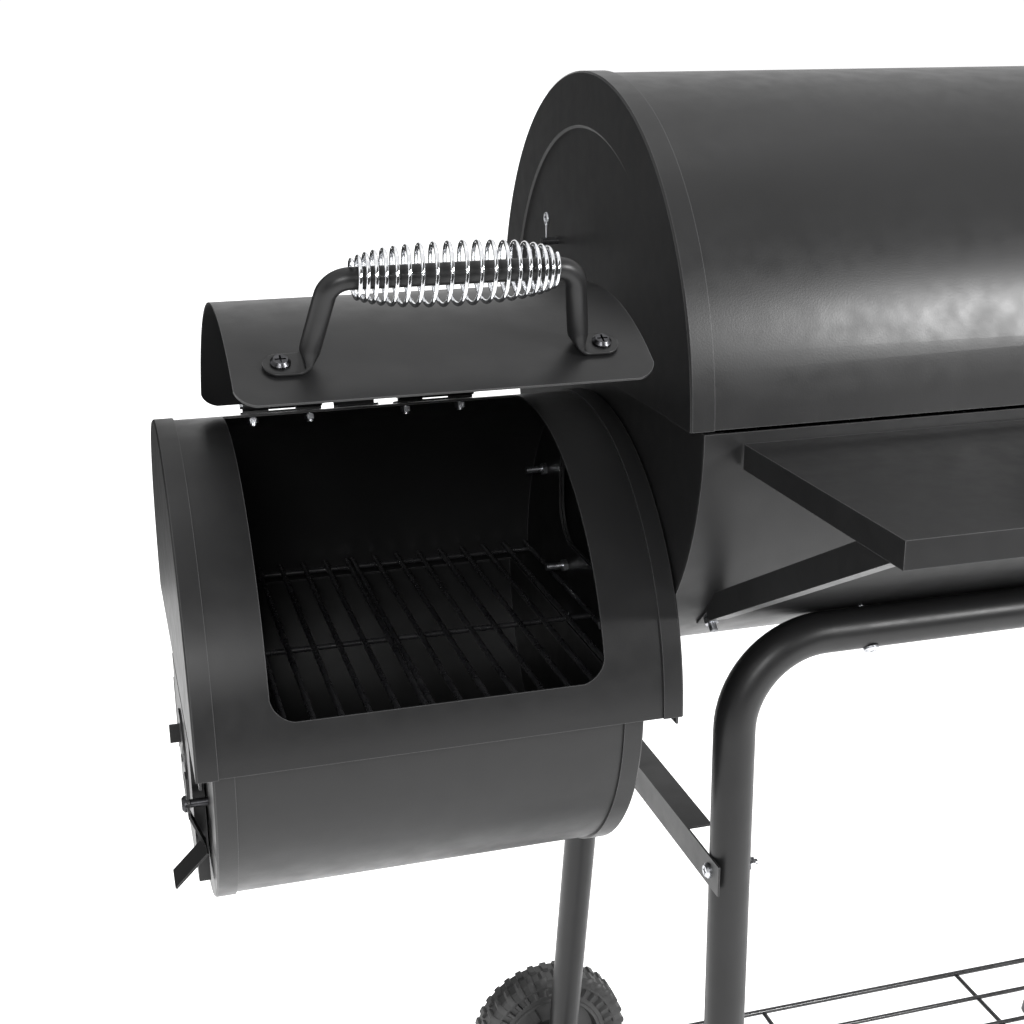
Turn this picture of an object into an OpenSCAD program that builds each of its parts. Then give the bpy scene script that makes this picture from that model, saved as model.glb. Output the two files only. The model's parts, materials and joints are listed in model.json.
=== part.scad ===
// Offset smoker: a barrel cook chamber with a side firebox, on a stand with two wheels.
// Millimetres. +X runs along the barrel away from the firebox, +Y to the rear, +Z up.
// Inside the modules x = 0 is the left end of the cook chamber lid and y = 0 is the barrel's axis;
// place() then moves the whole smoker so that its bounding box stands centred on the floor.

/* [Cook chamber] */
// Outer radius of the cook chamber lid
lid_r = 218.5; // [216:0.5:221]
// Length of the cook chamber lid
lid_len = 762; // [750:2:770]
// Height of the cook chamber axis above the floor
axis_h = 950; // [940:5:960]
// How far the lower body is set in from the lid at each end
body_inset = 11; // [10:1:12]
// Width of the folded band around each end cap
band_w = 16.6; // [14:0.2:18]

/* [Firebox] */
// Outer radius of the firebox's upper half
fb_r = 188; // [186:0.5:189]
// Left end of the firebox, measured from the lid's left end
fb_left = -323.4; // [-326:0.2:-322]
// Width of the folded band around each firebox end
fb_band_w = 14.6; // [12:0.2:16]
// How far the firebox axis lies below the cook chamber axis
fb_drop = 208.2; // [206:0.2:210]
// How far the firebox axis lies in front of the cook chamber axis
fb_forward = 9.7; // [8:0.1:11]
// How far the firebox lid stands open, in degrees
fb_open = 50; // [0:5:60]

/* [Sheet and tube] */
// Thickness of the sheet steel
sheet = 1.6; // [1.4:0.1:1.8]
// Outer diameter of the stand's tube
tube_d = 31.8; // [31:0.1:33]
// Wall thickness of the stand's tube
tube_wall = 1.5; // [1.2:0.1:2]

/* [Handles] */
// Distance between the foot screws of the cook chamber lid's handle
lid_screw_gap = 232; // [228:1:236]
// Distance between the foot screws of the firebox lid's handle
fb_screw_gap = 195; // [190:1:200]
// Height of the cook chamber lid's grip above its feet
lid_handle_h = 52; // [48:1:56]
// Height of the firebox lid's grip above its feet
fb_handle_h = 60; // [56:1:62]
// Millimetres of spring grip to each of its turns
spring_pitch = 6.2; // [6:0.1:7]

/* [Chimney] */
// Outer radius of the chimney pipe
pipe_r = 38; // [34:1:40]
// Height of the chimney's top above the floor
chimney_top = 1256; // [1220:2:1280]

/* [Wheels and shelves] */
// Outer radius of the wheels
wheel_r = 88; // [84:1:90]
// Width of each wheel
wheel_w = 40; // [36:1:42]
// Depth of the front shelf
shelf_depth = 200; // [180:5:200]
// Height of the bottom wire shelf above the floor
wire_shelf_h = 116; // [110:1:130]

/* [Hidden] */

smooth = 96;              // facets shown on large round parts
fine = 32;                // facets shown on rods and screws
gap = 0.3;                // space kept between bodies that move past each other
running = 0.05;           // radial clearance of a pin in its hole

body_r = lid_r - 3;       // outer radius of the lower body
body_x0 = body_inset;
body_x1 = lid_len - body_inset;
body_in_r = body_r - sheet;
split = 0.4;              // degrees left between the lid and the lower body, on each side
fb_split = 0.1;           // and between the two halves of the firebox

fb_y = -fb_forward;
fb_z = axis_h - fb_drop;
fb_right = body_x0 - 0.9;
fb_shell_r = fb_r - sheet;
fb_in_r = fb_shell_r - sheet;
fb_low_r = fb_r - 18;     // outer radius of the firebox's lower half, which is also set in at each end
fb_low_x0 = fb_left + 11.4;
fb_low_x1 = fb_right - 22.1;

fb_win_x0 = -273;         // opening in the firebox's upper half
fb_win_x1 = -46;
fb_win_a0 = 10;
fb_win_a1 = 100;
fb_win_round = 20;
fb_lid_x0 = -287;
fb_lid_x1 = -34;
fb_lid_a0 = 3;
fb_lid_a1 = 103;
fb_lid_r = fb_shell_r + 0.6;    // inner radius of the firebox lid
fb_hinge_a = 105;
fb_hinge_lift = 6.6;            // hinge axis above the firebox shell
fb_hinge_x = [-226, -106];      // middles of the two firebox hinges
knuckle_r = 4;
pin_r = 2.5;
fb_hinge_y = fb_y - (fb_shell_r + fb_hinge_lift) * cos(fb_hinge_a);
fb_hinge_z = fb_z + (fb_shell_r + fb_hinge_lift) * sin(fb_hinge_a);

lid_hinge_y = lid_r + 5.5;
lid_hinge_x = [140, lid_len - 140];       // middles of the two lid hinges
leaf_w = 60;

tube_r = tube_d / 2;
rail_angle = 52.4;              // where the stand's rails touch the lower body, below horizontal
rail_y = (body_r + tube_r + 0.1) * cos(rail_angle);
rail_z = axis_h - (body_r + tube_r + 0.1) * sin(rail_angle);
leg_x0 = 75;
leg_x1 = lid_len - 42;
bend_r = 70;
front_tilt = 0.9;               // legs lean outwards by these angles
rear_tilt = 11.3;
axle_z = wheel_r;
axle_r = 6;
leg_end_z = axle_z - 20;        // where the two wheeled legs end

brace_z = axis_h - 357;
brace_h = 25;
front_brace_y = -rail_y - (rail_z - brace_z + brace_h / 2) * tan(front_tilt);
rear_brace_y = rail_y + (rail_z - brace_z + brace_h / 2) * tan(rear_tilt);
front_axle_y = -rail_y - (rail_z - axle_z) * tan(front_tilt);
rear_axle_y = rail_y + (rail_z - axle_z) * tan(rear_tilt);
front_wheel_y = front_axle_y - tube_r - 8 - wheel_w;    // outer faces of the wheels
rear_wheel_y = rear_axle_y + tube_r + 8 + wheel_w;
axle_cap_h = 6;

shelf_x0 = 38;
shelf_x1 = lid_len - 38;
shelf_z = axis_h - 9;
shelf_y1 = -body_r - 2;
shelf_y0 = shelf_y1 - shelf_depth;
shelf_lip = 17;

chimney_x = lid_len + 62;
chimney_y = 60;
chimney_z = axis_h - 92;
elbow_r = 60;
cap_r = pipe_r + 7;

latch_y = -106;                 // latch pivot
latch_z = fb_z - 62;
door_y0 = -95;
door_y1 = 75;
door_z0 = fb_z - 132;
door_z1 = fb_z - 22;
door_depth = 8.5;
door_face_x = fb_low_x0 - 1.5 - door_depth;
door_pin_x = fb_low_x0 - 6;
door_pin_y = door_y1 + 5.2;
shutter_y = -10;
shutter_z = fb_z - 74;
shutter_r = 38;
latch_face_x = door_face_x - 3;
latch_out_x = latch_face_x - 15;

// The whole smoker's extent, from which its frame is set
smoker_x0 = latch_out_x;
smoker_x1 = chimney_x + cap_r;
smoker_y0 = shelf_y0;
smoker_y1 = rear_wheel_y + axle_cap_h;

black = [0.10, 0.10, 0.105];
enamel = [0.06, 0.06, 0.065];
chrome = [0.80, 0.81, 0.83];
zinc = [0.62, 0.64, 0.66];
rubber = [0.07, 0.07, 0.07];
white = [0.92, 0.92, 0.90];

// ---------------------------------------------------------------- helpers

module place() translate([-(smoker_x0 + smoker_x1) / 2, -(smoker_y0 + smoker_y1) / 2, 0]) children();

module at_chamber() place() translate([0, 0, axis_h]) children();

module at_firebox() place() translate([0, fb_y, fb_z]) children();

// Revolves an outline of [radius, x] about the X axis, from angle a0 to a1; 0 is the front, 90 the top
module sweep_x(a0, a1)
    rotate([0, 90, 0]) rotate([0, 0, -90 - a1]) rotate_extrude(angle = a1 - a0, $fn = smooth) children();

// Puts a piece on a cylinder about the X axis: its own +Z then points outwards and +Y towards the rear
module on_arc(x, r, a) translate([x, -r * cos(a), r * sin(a)]) rotate([90 - a, 0, 0]) children();

module rod_x(x0, x1, r, y = 0, z = 0)
    translate([x0, y, z]) rotate([0, 90, 0]) cylinder(r = r, h = x1 - x0, $fn = fine);

module rod_y(y0, y1, r, x = 0, z = 0)
    translate([x, y1, z]) rotate([90, 0, 0]) cylinder(r = r, h = y1 - y0, $fn = fine);

module rod_z(z0, z1, r, x = 0, y = 0) translate([x, y, z0]) cylinder(r = r, h = z1 - z0, $fn = fine);

// A box between two opposite corners
module block(a, b) translate(a) cube(b - a);

// A flat rectangle with true arcs at its corners, centred
module rounded(w, h, r) {
    square([w - 2 * r, h], center = true);
    square([w, h - 2 * r], center = true);
    for (sx = [-1, 1], sy = [-1, 1])
        translate([sx * (w / 2 - r), sy * (h / 2 - r)]) circle(r = r, $fn = fine);
}

// Pan-head screw with a cross recess; its head sits on z = 0 and its shank points down
module cross_screw(r, length, head_r, head_h) {
    difference() {
        union() {
            cylinder(r = head_r, h = head_h * 0.45, $fn = fine);
            translate([0, 0, head_h * 0.45]) cylinder(r1 = head_r, r2 = head_r * 0.72, h = head_h * 0.55, $fn = fine);
        }
        for (turn = [0, 90])
            rotate([0, 0, turn]) translate([-head_r * 0.55, -0.6, head_h * 0.4]) cube([head_r * 1.1, 1.2, head_h]);
    }
    translate([0, 0, -length]) cylinder(r = r, h = length, $fn = fine);
}

// Hexagon nut under z = 0, on a screw that carries on past it
module nut(r, h) translate([0, 0, -h]) cylinder(r = r, h = h, $fn = 6);

// Bolt with a dome head above z = 0, through a grip, with its nut below
module bolt(grip, r = 3, tail = 3) {
    cross_screw(r, grip + 4 + tail, 2 * r, 1.1 * r);
    translate([0, 0, -grip]) nut(1.8 * r, 4);
}

// ---------------------------------------------------------------- barrel parts

// Folded end cap: a disc with a pressed step near its rim and a band along the barrel
module end_cap(r, band, a0, a1, step_r, step_d)
    sweep_x(a0, a1) polygon([
        [0, step_d], [step_r - 2, step_d], [step_r, 0], [r - 1.2, 0], [r, 1.2], [r, band],
        [r - sheet, band], [r - sheet, sheet], [step_r + 1, sheet], [step_r - 1, sheet + step_d], [0, sheet + step_d]
    ]);

module mirrored_at(x) translate([x, 0, 0]) mirror([1, 0, 0]) children();

module tube_shell(r, x0, x1, a0, a1) sweep_x(a0, a1) translate([r - sheet, x0]) square([sheet, x1 - x0]);

// ---------------------------------------------------------------- stand

// One bent tube: a rail along the barrel and two legs, drawn upright with the rail at z = 0
module bent_frame(r, left_drop, right_drop) {
    rod_x(leg_x0 + bend_r, leg_x1 - bend_r, r);
    rod_z(-left_drop, -bend_r, r, leg_x0);
    rod_z(-right_drop, -bend_r, r, leg_x1);
    translate([leg_x0 + bend_r, 0, -bend_r]) rotate([90, 0, 0]) rotate([0, 0, 90])
        rotate_extrude(angle = 90, $fn = smooth) translate([bend_r, 0]) circle(r = r, $fn = fine);
    translate([leg_x1 - bend_r, 0, -bend_r]) rotate([90, 0, 0])
        rotate_extrude(angle = 90, $fn = smooth) translate([bend_r, 0]) circle(r = r, $fn = fine);
}

module leg_frame(side, tilt) {
    left_drop = (rail_z - leg_end_z) / cos(tilt);
    right_drop = (rail_z - 6) / cos(tilt);
    difference() {
        translate([0, side * rail_y, rail_z]) rotate([side * tilt, 0, 0]) difference() {
            bent_frame(tube_r, left_drop, right_drop);
            bent_frame(tube_r - tube_wall, left_drop + 1, right_drop + 1);
        }
        rod_y(-300, 400, axle_r + 0.1, leg_x0, axle_z);
        for (x = rail_bolt_x) translate([x, 0, axis_h]) rotate([side * (90 - rail_angle), 0, 0])
            translate([0, 0, -body_r - tube_d - 2]) cylinder(r = 3.2, h = tube_d + 2, $fn = fine);
        for (x = [leg_x0, leg_x1]) rod_x(x - tube_d, x + tube_d, 3.2,
            side > 0 ? rear_brace_y : front_brace_y, brace_z - brace_h / 2);
    }
}

rail_bolt_x = [180, lid_len - 180];

module front_leg_frame() place() color(black) leg_frame(-1, front_tilt);

module rear_leg_frame() place() color(black) leg_frame(1, rear_tilt);

// Angle bar between a front and a rear leg, on their outer side
module brace(x, out) {
    y0 = front_brace_y - tube_r - 2;
    y1 = rear_brace_y + tube_r + 2;
    face = x + out * (tube_r + 0.1);
    difference() {
        union() {
            translate([out > 0 ? face : face - sheet, y0, brace_z - brace_h]) cube([sheet, y1 - y0, brace_h]);
            translate([out > 0 ? face - 20 : face - sheet, y0 + 62, brace_z - sheet])
                cube([20 + sheet, y1 - y0 - 140, sheet]);
        }
        for (y = [front_brace_y, rear_brace_y])
            rod_x(face - 4, face + 4, 3.1, y, brace_z - brace_h / 2);
    }
}

module left_brace() place() color(black) {
    tab_x = leg_x0 - tube_r - 0.1;
    brace(leg_x0, -1);
    difference() {
        union() {
            block([fb_low_x1 + 0.1, 12, brace_z - sheet], [tab_x - sheet, 44, brace_z]);
            block([fb_low_x1 + 0.1, 12, brace_z], [fb_low_x1 + 0.1 + sheet, 44, brace_z + 26]);
        }
        rod_x(fb_low_x1 - 5, fb_low_x1 + 5, 3.1, 28, brace_z + 13);
    }
}

module right_brace() place() color(black) brace(leg_x1, 1);

module frame_bolts() place() color(zinc) {
    for (side = [-1, 1], x = rail_bolt_x)
        translate([x, 0, axis_h]) rotate([side * (90 - rail_angle), 0, 0])
            translate([0, 0, -body_r - tube_d - 0.2]) mirror([0, 0, 1]) bolt(tube_d + sheet + 0.2);
    for (side = [-1, 1], y = [front_brace_y, rear_brace_y])
        translate([side < 0 ? leg_x0 - tube_r - 0.1 - sheet : leg_x1 + tube_r + 0.1 + sheet, y, brace_z - brace_h / 2])
            rotate([0, side * 90, 0]) bolt(tube_d + sheet + 0.2);
    translate([fb_low_x1 + 0.1 + sheet, 28, brace_z + 13]) rotate([0, 90, 0]) bolt(2 * sheet + 0.2);
    for (x = bracket_bolt_x) translate([0, 0, axis_h]) on_arc(x, body_r - sheet - 0.15, 360 - tab_angle)
        mirror([0, 0, 1]) bolt(sheet + 2.05, 3, 6);
}

// Plastic caps on the two standing legs, cut flat where they meet the floor
module foot_cap(side, tilt) intersection() {
    translate([0, side * rail_y, rail_z]) rotate([side * tilt, 0, 0]) difference() {
        rod_z(-rail_z / cos(tilt) - 12, -rail_z / cos(tilt) + 34, tube_r + 2, leg_x1);
        rod_z(-(rail_z - 6) / cos(tilt), 0, tube_r, leg_x1);
    }
    translate([leg_x1 - 100, -500, 0]) cube([200, 1000, 100]);
}

module foot_caps() place() color(rubber) {
    foot_cap(-1, front_tilt);
    foot_cap(1, rear_tilt);
}

module axle() place() color(zinc)
    rod_y(front_wheel_y - 5, rear_wheel_y + 5, axle_r, leg_x0, axle_z);

module axle_caps() place() color(black) difference() {
    union() {
        rod_y(front_wheel_y - axle_cap_h, front_wheel_y - gap, 13, leg_x0, axle_z);
        rod_y(rear_wheel_y + gap, rear_wheel_y + axle_cap_h, 13, leg_x0, axle_z);
    }
    rod_y(front_wheel_y - 5, rear_wheel_y + 5, axle_r, leg_x0, axle_z);
}

// Moulded wheel with its outer face at y = 0 and its inner face at y = wheel_w
module wheel() rotate([-90, 0, 0]) difference() {
    union() {
        rotate_extrude($fn = smooth) polygon([
            [0, 2], [24, 2], [26, 8], [52, 12], [56, 3], [wheel_r - 10, 0], [wheel_r - 2.5, 3],
            [wheel_r - 2.5, wheel_w - 3], [wheel_r - 10, wheel_w], [56, wheel_w - 3], [52, wheel_w - 14],
            [26, wheel_w - 8], [24, wheel_w], [0, wheel_w]
        ]);
        for (i = [0:17]) rotate([0, 0, i * 20]) translate([wheel_r - 8, -7, 4]) cube([8, 14, wheel_w / 2 - 5]);
        for (i = [0:17]) rotate([0, 0, i * 20 + 10]) 
            translate([wheel_r - 8, -7, wheel_w / 2 + 1]) cube([8, 14, wheel_w / 2 - 5]);
    }
    translate([0, 0, -1]) cylinder(r = axle_r + running, h = wheel_w + 2, $fn = smooth);
}

module front_wheel() place() color(rubber) translate([leg_x0, front_wheel_y, axle_z]) wheel();

module rear_wheel() place() color(rubber)
    translate([leg_x0, rear_wheel_y, axle_z]) mirror([0, 1, 0]) wheel();

wire_r = 2.5;
wire_y0 = front_axle_y + tube_r + wire_r + 1.4;
wire_y1 = rear_axle_y - tube_r - wire_r - 7;
wire_count = 9;

module wire_shelf() place() color(enamel) {
    pitch = (wire_y1 - wire_y0) / (wire_count - 1);
    for (i = [0:wire_count - 1]) {
        edge = i == 0 || i == wire_count - 1;
        rod_x(leg_x0 - 14, leg_x1 + 14, edge ? wire_r + 0.5 : wire_r, wire_y0 + i * pitch, wire_shelf_h);
    }
    for (x = [leg_x0 - 10, leg_x0 + 239, leg_x0 + 491, leg_x1 + 10])
        rod_y(wire_y0, wire_y1, wire_r, x, wire_shelf_h - wire_r);
}

// ---------------------------------------------------------------- cook chamber body

pass_w = 175;                   // passage between firebox and cook chamber
pass_h = 90;
pass_y = -8;
pass_z = axis_h - 120;
join_bolts = [[118, axis_h - 116], [60, axis_h - 185], [-134, axis_h - 116], [-76, axis_h - 185]];

module passage(x0, x1) translate([x0, pass_y, pass_z]) rotate([90, 0, 90])
    linear_extrude(x1 - x0) rounded(pass_w, pass_h, 32);

module join_holes(x0, x1) for (p = join_bolts) rod_x(x0, x1, 3.1, p[0], p[1]);

module chamber_shell() place() color(black) difference() {
    translate([0, 0, axis_h]) tube_shell(body_r, body_x0, body_x1, 180 + split, 360 - split);
    for (side = [-1, 1], x = rail_bolt_x)
        translate([x, 0, axis_h]) rotate([side * (90 - rail_angle), 0, 0])
            translate([0, 0, -body_r - 2]) cylinder(r = 3.2, h = 6, $fn = fine);
    for (x = bracket_bolt_x) translate([0, 0, axis_h]) on_arc(x, body_r, 360 - tab_angle)
        translate([0, 0, -10]) cylinder(r = 3.1, h = 20, $fn = fine);
}

rack_pin_y = 63;                // warming rack's rear rod, carried by the lid
rack_pin_z = 88;
rack_reach = 183;               // distance from the rear rod to the link pins
rack_tab = 25;                  // how far the link pins hang below the rack
stud_y = lid_hinge_y - rack_reach;
stud_z = -rack_tab;
stud_r = 4;
link_x = [24, lid_len - 24];

module chamber_end_blank() {
    sweep_x(180 + split, 360 - split) polygon([
        [0, 0], [body_in_r, 0], [body_in_r, 14], [body_in_r - sheet, 14], [body_in_r - sheet, sheet], [0, sheet]
    ]);
    rod_x(sheet, link_x[0] - body_x0 + 5, stud_r, stud_y, stud_z);
}

module chamber_left_end() place() color(black) difference() {
    translate([body_x0, 0, axis_h]) chamber_end_blank();
    passage(body_x0 - 5, body_x0 + 10);
    join_holes(body_x0 - 5, body_x0 + 10);
}

module chamber_right_end() place() color(black) difference() {
    translate([0, 0, axis_h]) mirrored_at(body_x1) chamber_end_blank();
    rod_x(body_x1 - 10, body_x1 + 5, pipe_r - sheet, chimney_y, chimney_z);
    for (sy = [-1, 1], sz = [-1, 1])
        rod_x(body_x1 - 10, body_x1 + 5, 3.1, chimney_y + sy * flange_bolt, chimney_z + sz * flange_bolt);
}

grate_z = -46;                  // top of the ledges, from the chamber axis
ledge_w = 14;

// Angle ledges along the front and rear walls
module grate_ledges() at_chamber() color(black)
    for (side = [-1, 1]) {
        wall = side * (sqrt(body_in_r * body_in_r - (grate_z - 16) * (grate_z - 16)) - 0.3);
        x0 = body_x0 + 40;
        x1 = body_x1 - 40;
        block([x0, min(wall, wall - side * ledge_w), grate_z - sheet], [x1, max(wall, wall - side * ledge_w), grate_z]);
        block([x0, min(wall, wall - side * sheet), grate_z - 16], [x1, max(wall, wall - side * sheet), grate_z - sheet]);
    }

// Wire grate: wires along Y, with cross rods under them and an edge rod at each end
module wire_grate(x0, x1, count, half_depth, r) {
    pitch = (x1 - x0 - 2 * r) / (count - 1);
    for (i = [0:count - 1]) rod_y(-half_depth, half_depth, r, x0 + r + i * pitch, 3 * r);
    for (y = [-half_depth + 8, 0, half_depth - 8]) rod_x(x0, x1, r, y, r + 0.2);
}

grate_half = 198;

module cooking_grate_left() at_chamber() color(enamel)
    translate([0, 0, grate_z]) wire_grate(body_x0 + 17, lid_len / 2 - 1, 19, grate_half, 2.5);

module cooking_grate_right() at_chamber() color(enamel)
    translate([0, 0, grate_z]) wire_grate(lid_len / 2 + 1, body_x1 - 17, 19, grate_half, 2.5);

pan_x0 = 62;
pan_x1 = lid_len - 62;
pan_half = 122;
pan_z = axis_h - 158;
pan_h = 28;
pan_lift = 50;
pan_rod_y = 80;
pan_guide_x = 36;

// Pressed tray with a hanging rod at each end
module charcoal_pan() place() color(black) {
    difference() {
        block([pan_x0, -pan_half, pan_z], [pan_x1, pan_half, pan_z + pan_h]);
        block([pan_x0 + sheet, -pan_half + sheet, pan_z + sheet], [pan_x1 - sheet, pan_half - sheet, pan_z + pan_h + 1]);
    }
    for (y = [-pan_rod_y, pan_rod_y]) {
        rod_x(pan_guide_x - 6, pan_x0, 3, y, pan_z + pan_h - 8);
        rod_x(pan_x1, lid_len - pan_guide_x + 6, 3, y, pan_z + pan_h - 8);
    }
}

// Slotted plates welded inside the chamber ends, in which the pan's rods slide up and down
module pan_guides() place() color(black)
    for (end = [0, 1], y = [-pan_rod_y, pan_rod_y]) {
        x = end == 0 ? pan_guide_x : lid_len - pan_guide_x;
        wall = end == 0 ? body_x0 + sheet : body_x1 - sheet;
        difference() {
            union() {
                block([x - 1, y - 12, pan_z + 8], [x + 1, y + 12, pan_z + pan_h + pan_lift + 8]);
                block([min(x, wall), y - 12, pan_z + pan_h + pan_lift + 6], [max(x, wall), y + 12, pan_z + pan_h + pan_lift + 8]);
            }
            block([x - 4, y - 3.4, pan_z + pan_h - 11.4], [x + 4, y + 3.4, pan_z + pan_h + pan_lift - 4.6]);
        }
    }

// ---------------------------------------------------------------- cook chamber hinges

// Knuckles of a hinge along X about the origin: outer = true gives the two end knuckles
module knuckles(outer, r, length) difference() {
    third = length / 3;
    if (outer) {
        rod_x(-length / 2, -length / 2 + third - gap, r);
        rod_x(length / 2 - third + gap, length / 2, r);
    } else rod_x(-third / 2, third / 2, r);
    rod_x(-length, length, outer ? pin_r : pin_r + running);
}

module chamber_hinge_leaves() at_chamber() color(black)
    for (x = lid_hinge_x) translate([x, lid_hinge_y, 0]) {
        knuckles(true, knuckle_r, leaf_w);
        difference() {
            union() {
                block([-leaf_w / 2, -7.8, -34], [leaf_w / 2, -6.2, -7]);
                for (side = [-1, 1])
                    block([side > 0 ? leaf_w / 6 + gap : -leaf_w / 2, -7.8, -9], [side > 0 ? leaf_w / 2 : -leaf_w / 6 - gap, 0, -7.4]);
                for (side = [-1, 1])
                    block([side > 0 ? leaf_w / 6 + gap : -leaf_w / 2, -1.2, -7.6], [side > 0 ? leaf_w / 2 : -leaf_w / 6 - gap, 1.2, -3]);
            }
            for (sx = [-18, 18]) rod_y(-20, 0, 2.6, sx, -22);
        }
        for (sx = [-18, 18]) translate([sx, -6.2, -22]) rotate([-90, 0, 0]) cross_screw(2.5, 1.4, 4.5, 2.4);
    }

module chamber_hinge_pins() at_chamber() color(zinc)
    for (x = lid_hinge_x) rod_x(x - leaf_w / 2 - 2, x + leaf_w / 2 + 2, pin_r, lid_hinge_y, 0);

module lid_hinge_leaves() at_chamber() color(black)
    for (x = lid_hinge_x) translate([x, lid_hinge_y, 0]) {
        knuckles(false, knuckle_r, leaf_w);
        block([-leaf_w / 6, -5.4, 0], [leaf_w / 6, -3.3, 8]);
        block([-leaf_w / 2, -5.4, 7], [leaf_w / 2, -3.8, 34]);
        for (sx = [-18, 18]) translate([sx, -3.8, 22]) rotate([-90, 0, 0]) cross_screw(2.5, 1.2, 4.5, 2.4);
    }

// ---------------------------------------------------------------- cook chamber lid

handle_foot_a = 12;             // where the lid handle's feet sit on the lid
gauge_a = 52;                   // where the thermometer sits
gauge_r = 38;

module lid_shell() at_chamber() color(black) difference() {
    tube_shell(lid_r - sheet, sheet, lid_len - sheet, split, 180 - split);
    on_arc(lid_len / 2, lid_r, gauge_a) translate([0, 0, -20]) cylinder(r = 5, h = 30, $fn = fine);
    for (side = [-1, 1])
        on_arc(lid_len / 2 + side * lid_screw_gap / 2, lid_r, handle_foot_a)
            translate([0, 0, -20]) cylinder(r = 3.1, h = 30, $fn = fine);
}

module lid_end_blank() difference() {
    end_cap(lid_r, band_w, split, 180 - split, 180, 1.2);
    rod_x(-10, 30, 3 + running, rack_pin_y, rack_pin_z);
}

module lid_left_end() at_chamber() color(black) lid_end_blank();

module lid_right_end() at_chamber() color(black) mirrored_at(lid_len) lid_end_blank();

leg_in = 29;                    // handle: how much less than the screws' distance its legs' bottoms stand apart,
grip_in = 52;                   // and the corners of its grip
spring_in = 77;                 // and how much shorter its spring is
grip_r = 6.4;
grip_bend = 14;
foot_t = 2.5;

grip_sides = 16;

// Centre line of the handle's bent tube, from one foot over the grip to the other
function half_grip(side, screw_gap, h, lean, turn) = let (
    tangent = grip_bend * tan(turn / 2),
    centre = [(screw_gap - grip_in) / 2 - tangent, h - grip_bend],
    steps = 7
) concat(
    [[side * ((screw_gap - leg_in) / 2 - foot_t * tan(lean)), foot_t + 0.02]],    // a hair above the foot, so that both stay true solids
    [for (i = [0:steps]) let (a = lean + turn * i / steps)
        [side * (centre[0] + grip_bend * cos(a)), centre[1] + grip_bend * sin(a)]]
);

function reversed(list) = [for (i = [len(list) - 1:-1:0]) list[i]];

function unit(v) = v / norm(v);

// Round tube along a path of [x, z] points in the XZ plane
module bent_rod(path, r, sides) {
    last = len(path) - 1;
    points = [for (i = [0:last]) let (
        along = i == 0 ? path[1] - path[0] : i == last ? path[last] - path[last - 1]
            : unit(path[i + 1] - path[i]) + unit(path[i] - path[i - 1]),
        flat = i == 0 || i == last ? [1, 0] : unit([along[1], -along[0]])
    ) for (j = [0:sides - 1]) let (a = 360 * j / sides)
        [path[i][0] + r * cos(a) * flat[0], r * sin(a), path[i][1] + r * cos(a) * flat[1]]];
    faces = concat(
        [[for (j = [0:sides - 1]) j]],
        [for (i = [0:last - 1], j = [0:sides - 1])
            [i * sides + j, (i + 1) * sides + j, (i + 1) * sides + (j + 1) % sides, i * sides + (j + 1) % sides]],
        [[for (j = [sides - 1:-1:0]) last * sides + j]]
    );
    polyhedron(points = points, faces = faces, convexity = 6);
}

// Bent-tube handle standing on z = 0, with a flat foot under each leg
module handle(screw_gap, h) {
    lean = atan((grip_in - leg_in) / 2 / h);
    turn = 90 - lean;
    bent_rod(concat(half_grip(-1, screw_gap, h, lean, turn), reversed(half_grip(1, screw_gap, h, lean, turn))),
        grip_r, grip_sides);
    for (side = [0, 1]) mirror([side, 0, 0]) difference() {
        union() {
            translate([screw_gap / 2 - leg_in / 2 - 8, -9, 0]) cube([leg_in / 2 + 8, 18, foot_t]);
            translate([screw_gap / 2, 0, 0]) cylinder(r = 11, h = foot_t, $fn = fine);
        }
        translate([screw_gap / 2, 0, -1]) cylinder(r = 3.1, h = 10, $fn = fine);
    }
}

module handle_screws(screw_gap, sunk) for (side = [-1, 1])
    translate([side * screw_gap / 2, 0, foot_t]) bolt(foot_t + sunk + 0.1, 3, 3);

spring_wire = 1.25;
spring_steps = 12;              // rings in each turn
spring_sides = 6;
spring_end_r = 10;              // radius of the spring's centre line at its ends and in its middle
spring_mid_r = 17.5;

function swell(t) = pow(sin(180 * t), 0.8);

// Barrel-shaped coil spring around the handle's grip
module spring(screw_gap, h) {
    spring_len = screw_gap - spring_in;
    spring_turns = round(spring_len / spring_pitch);
    rings = spring_turns * spring_steps;
    points = [for (i = [0:rings]) let (
        t = i / rings,
        turn = 360 * spring_turns * t,
        r = spring_end_r + (spring_mid_r - spring_end_r) * swell(t),
        x = (t - 0.5) * (spring_len - 2 * spring_wire)
    ) for (j = [0:spring_sides - 1]) let (
        side = 360 * j / spring_sides,
        d = r + spring_wire * cos(side)
    ) [x + spring_wire * sin(side), d * cos(turn), d * sin(turn)]];
    n = spring_sides;
    faces = concat(
        [[for (j = [n - 1:-1:0]) j]],
        [for (i = [0:rings - 1], j = [0:n - 1])
            [i * n + j, i * n + (j + 1) % n, (i + 1) * n + (j + 1) % n, (i + 1) * n + j]],
        [[for (j = [0:n - 1]) rings * n + j]]
    );
    translate([0, 0, h]) polyhedron(points = points, faces = faces, convexity = 20);
}

// Puts a handle on the cook chamber lid
module on_lid() at_chamber() on_arc(lid_len / 2, lid_r - sheet + 0.35, handle_foot_a) children();

module lid_handle() color(black) on_lid() handle(lid_screw_gap, lid_handle_h);

module lid_handle_spring() color(chrome) on_lid() spring(lid_screw_gap, lid_handle_h);

module lid_handle_screws() color(enamel) on_lid() handle_screws(lid_screw_gap, 2 * sheet);

// ---------------------------------------------------------------- thermometer

module on_gauge() at_chamber() on_arc(lid_len / 2, lid_r - sheet + 0.8, gauge_a) children();

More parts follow.
